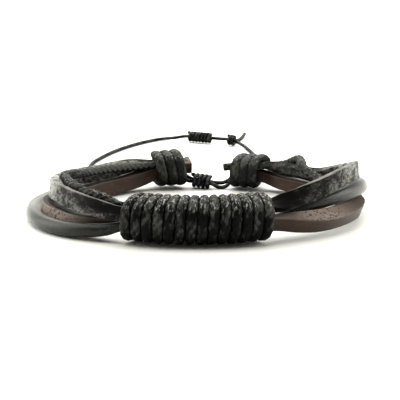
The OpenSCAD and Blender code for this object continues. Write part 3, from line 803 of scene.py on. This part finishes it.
class StageSizes(bpy.types.PropertyGroup):
    distance: length_property("Camera distance", "From the middle of the loop", 0.26)
    elevation: bpy.props.FloatProperty(
        name="Camera elevation",
        description="Angle over the surface",
        default=math.radians(12),
        subtype="ANGLE",
    )
    lens: number_property("Lens", "Focal length in millimetres", 116.28)
    shift_x: number_property("Shift X", "Sideways shift of the picture", 0.0075)
    shift_y: number_property("Shift Y", "Upward shift of the picture", 0.0315)
    key: number_property("Key light", "Strength of the light overhead", 6.0)
    fill: number_property("Fill light", "Strength of the light at each side", 2.6)
    far: number_property("Far light", "Strength of the light on the far floor", 30.0)
    sky: number_property("Sky", "Strength of the white surroundings", 0.22)
    tint: colour_property("Tint", "Colour of the light and the surroundings", (1.0, 1.0, 0.93))
    floor: colour_property("Floor", "Colour of the floor", (0.85, 0.85, 0.84))


class BRACELET_OT_stage(bpy.types.Operator):
    """Set the floor, the lights and the camera"""

    bl_idname = "bracelet.stage"
    bl_label = "Stage"

    def execute(self, context):
        sizes = context.scene.bracelet_stage
        mesh = bpy.data.meshes.new("floor")
        half = 3.0
        corners = [(-half, -half, 0), (half, -half, 0), (half, half, 0), (-half, half, 0)]
        mesh.from_pydata(corners, [], [(0, 1, 2, 3)])
        floor = new_object("floor", mesh)
        paper = Finish("Pale floor")
        patches = paper.out("ShaderNodeTexNoise", {"Scale": 30.0, "Detail": 3.0})
        rough = paper.span(patches, 0.3, 0.7, 0.55, 0.65)
        paper.set(base_color=colour(sizes.floor), roughness=rough, specular_ior_level=0.3)
        mesh.materials.append(paper.material)
        world = bpy.data.worlds.new("Studio")
        world.use_nodes = True
        background = world.node_tree.nodes["Background"].inputs
        background["Color"].default_value = colour(sizes.tint)
        background["Strength"].default_value = sizes.sky
        context.scene.world = world
        # Each light: name, place, how far back the point lies that it looks at, size, power
        lights = (
            ("Overhead", (-0.05, 0.12, 0.5), 0, 0.9, sizes.key),
            ("Left", (-0.5, 0.1, 0.2), 0, 0.4, sizes.fill),
            ("Right", (0.5, 0.1, 0.2), 0, 0.4, sizes.fill),
            ("Far floor", (0, 1.3, 0.9), 1.3, 1.2, sizes.far),
        )
        for name, spot, back, size, power in lights:
            data = bpy.data.lights.new(name, "AREA")
            data.size = size
            data.energy = power
            data.color = sizes.tint
            lamp = new_object(name, data)
            lamp.location = spot
            x, y, z = np.array((0, back, 0)) - spot
            lamp.rotation_euler = (math.atan2(math.hypot(x, y), -z), 0, math.atan2(-x, y))
        data = bpy.data.cameras.new("Camera")
        data.sensor_width = 36
        data.clip_start = 0.01
        data.clip_end = 20
        for key in ("lens", "shift_x", "shift_y"):
            setattr(data, key, getattr(sizes, key))
        camera = new_object("Camera", data)
        angle = sizes.elevation
        camera.location = (0, -sizes.distance * math.cos(angle), sizes.distance * math.sin(angle))
        camera.rotation_euler = (math.pi / 2 - angle, 0, 0)
        context.scene.camera = camera
        context.scene.view_settings.view_transform = "Standard"
        return {"FINISHED"}


class BRACELET_OT_draw_cord(bpy.types.Operator):
    """Lay the draw cord behind the bracelet, with its knots and its tail"""

    bl_idname = "bracelet.draw_cord"
    bl_label = "Draw cord and knots"

    def execute(self, context):
        thin = context.scene.bracelet_cords.thin
        path = smoothed(DRAW_ROUTE, 12)
        lines = (
            ("draw_cord", "plait", path_mesh("draw", path)),
            ("cord_tail", "plait", path_mesh("tail", smoothed(TAIL_ROUTE, 10), blunt=0.4)),
            ("barrel_knot", "coil", path_mesh("barrel", coil_path(*BARREL_COIL))),
            ("end_knot", "coil", path_mesh("knot", coil_path(*END_COIL))),
        )
        pieces = []
        for node, form, mesh in lines:
            pieces.append(lay_cord(f"{node}_{form}", mesh, thin, thin=True))
            hand_over(pieces[-1], node)
        return {"FINISHED"}


class BRACELET_OT_leather(bpy.types.Operator):
    """Sweep the flat strap, the brown lace and the round leather cord"""

    bl_idname = "bracelet.leather"
    bl_label = "Leather strands"

    def execute(self, context):
        s = context.scene.bracelet_leather
        strap = strap_outline(s.strap_width / MM, s.strap_thickness / MM, ease=0.2, across=26, through=8)
        lace = strap_outline(s.lace_width / MM, s.lace_thickness / MM, ease=0.35, across=22, through=20)
        cord = round_outline(s.round_diameter / MM)
        lower = np.clip(-strap[0][:, 1] / strap[0][:, 1].max(), 0, 1)
        strap_shares = (np.ones(len(lower)), lower)
        lace_shares = (np.clip(lace[1][:, 1], 0, 1), np.clip(lace[1][:, 0], 0, 1))
        cord_shares = (np.ones(len(cord[0])),)
        strands = (
            ("flat_strap", STRAP_ROWS, strap, STRAP_WEAR_AND_HIGHLIGHT, strap_shares,
             "worn_leather", "Worn black leather", worn_leather),
            ("brown_lace", LACE_ROWS, lace, LACE_FACE_AND_SHADE, lace_shares,
             "brown_leather", "Pitted brown leather", brown_leather),
            ("round_cord", ROUND_ROWS, cord, ROUND_HIGHLIGHT, cord_shares,
             "round_leather", "Smooth black leather", round_leather),
        )
        for node, rows, (outline, facing), tones, shares, slot, finish, build in strands:
            piece = new_object(node + "_hide", strand_mesh(node, rows, outline, facing, tones, shares))
            values = dict(zip(("Waves", "Wave size", "Pits", "Pit size"), RELIEF[node]))
            values["Material"] = once(finish, "material", build, finish)
            apply_tree(piece, once("Leather relief", "tree", hide_tree), values)
            hand_over(piece, node)
        return {"FINISHED"}


class BRACELET_OT_waxed_strand(bpy.types.Operator):
    """Lay the waxed cord that runs beside the leather"""

    bl_idname = "bracelet.waxed_strand"
    bl_label = "Waxed strand"

    def execute(self, context):
        samples = 600
        angles = np.linspace(WAXED_ROWS[0][0], WAXED_ROWS[-1][0], samples)
        path = place(angles, read(WAXED_ROWS, angles, 1), read(WAXED_ROWS, angles, 2))
        wear = np.interp(angles, *np.transpose(STRAND_WEAR))
        mesh = path_mesh("strand", path, girth=read(WAXED_ROWS, angles, 4), wear=wear)
        piece = lay_cord("waxed_strand_plait", mesh, context.scene.bracelet_cords.strand, rope=2.0)
        hand_over(piece, "waxed_strand")
        return {"FINISHED"}


class BRACELET_OT_bindings(bpy.types.Operator):
    """Wind the cord round the front and round both ends"""

    bl_idname = "bracelet.bindings"
    bl_label = "Bindings"

    def execute(self, context):
        s = context.scene.bracelet_cords
        # Each binding: node, table, cord, turns, where they start, the bundle's bend, tip, fullness, wear
        bindings = (
            ("centre_wrap", FRONT_ROWS, s.front, s.front_turns, 120, 34, 0.0, s.fullness, 1.0),
            ("left_end_wrap", LEFT_ROWS, s.ends, s.end_turns, 0, 600, 1.4, s.end_fullness, 0.45),
            ("right_end_wrap", RIGHT_ROWS, s.ends, s.end_turns, 0, 600, 0.0, s.end_fullness, 0.45),
        )
        for node, rows, diameter, turns, start, bend, tip, fullness, wear in bindings:
            path, axis, room = winding_path(rows, diameter / MM, turns, start, bend, s.flat, tip)
            mesh = path_mesh(node, path, axis, room * fullness / s.flat, s.flat, diameter / MM / 2, wear)
            piece = lay_cord(node + "_coil", mesh, diameter)
            hand_over(piece, node)
        return {"FINISHED"}


class BRACELET_OT_closure(bpy.types.Operator):
    """Lay the two bridge cords and coil the sliding knot round them"""

    bl_idname = "bracelet.closure"
    bl_label = "Sliding closure"

    def execute(self, context):
        s = context.scene.bracelet_cords
        for node, route in (("bridge_cord_low", LOW_ROUTE), ("bridge_cord_high", HIGH_ROUTE)):
            piece = lay_cord(node + "_plait", path_mesh(node, smoothed(route, 12)), s.thin, thin=True)
            hand_over(piece, node)
        coil = path_mesh("sliding", coil_path(*SLIDING_COIL))
        knot = lay_cord("sliding_knot_coil", coil, s.thin, thin=True)
        hand_over(knot, "sliding_knot")
        return {"FINISHED"}


class BRACELET_PT_panel(bpy.types.Panel):
    """Steps that build the bracelet"""

    bl_idname = "BRACELET_PT_panel"
    bl_label = "Bracelet"
    bl_space_type = "VIEW_3D"
    bl_region_type = "UI"
    bl_category = "Bracelet"

    def draw(self, context):
        for step in STEPS:
            self.layout.operator(step.bl_idname)
        for name in GROUPS:
            box = self.layout.box()
            settings = getattr(context.scene, name)
            for key in settings.bl_rna.properties.keys():
                if key not in ("rna_type", "name"):
                    box.prop(settings, key)


STEPS = (
    BRACELET_OT_stage,
    BRACELET_OT_draw_cord,
    BRACELET_OT_closure,
    BRACELET_OT_waxed_strand,
    BRACELET_OT_leather,
    BRACELET_OT_bindings,
)
GROUPS = {
    "bracelet_leather": LeatherSizes,
    "bracelet_cords": CordSizes,
    "bracelet_finish": Finishes,
    "bracelet_stage": StageSizes,
}


def register():
    for kind in (*GROUPS.values(), *STEPS, BRACELET_PT_panel):
        bpy.utils.register_class(kind)
    for name, kind in GROUPS.items():
        setattr(bpy.types.Scene, name, bpy.props.PointerProperty(type=kind))


def unregister():
    for name in GROUPS:
        delattr(bpy.types.Scene, name)
    for kind in reversed((*GROUPS.values(), *STEPS, BRACELET_PT_panel)):
        bpy.utils.unregister_class(kind)


def main():
    register()
    bpy.ops.bracelet.stage()
    bpy.ops.bracelet.draw_cord()
    bpy.ops.bracelet.closure()
    bpy.ops.bracelet.waxed_strand()
    bpy.ops.bracelet.leather()
    bpy.ops.bracelet.bindings()


if __name__ == "__main__":
    main()
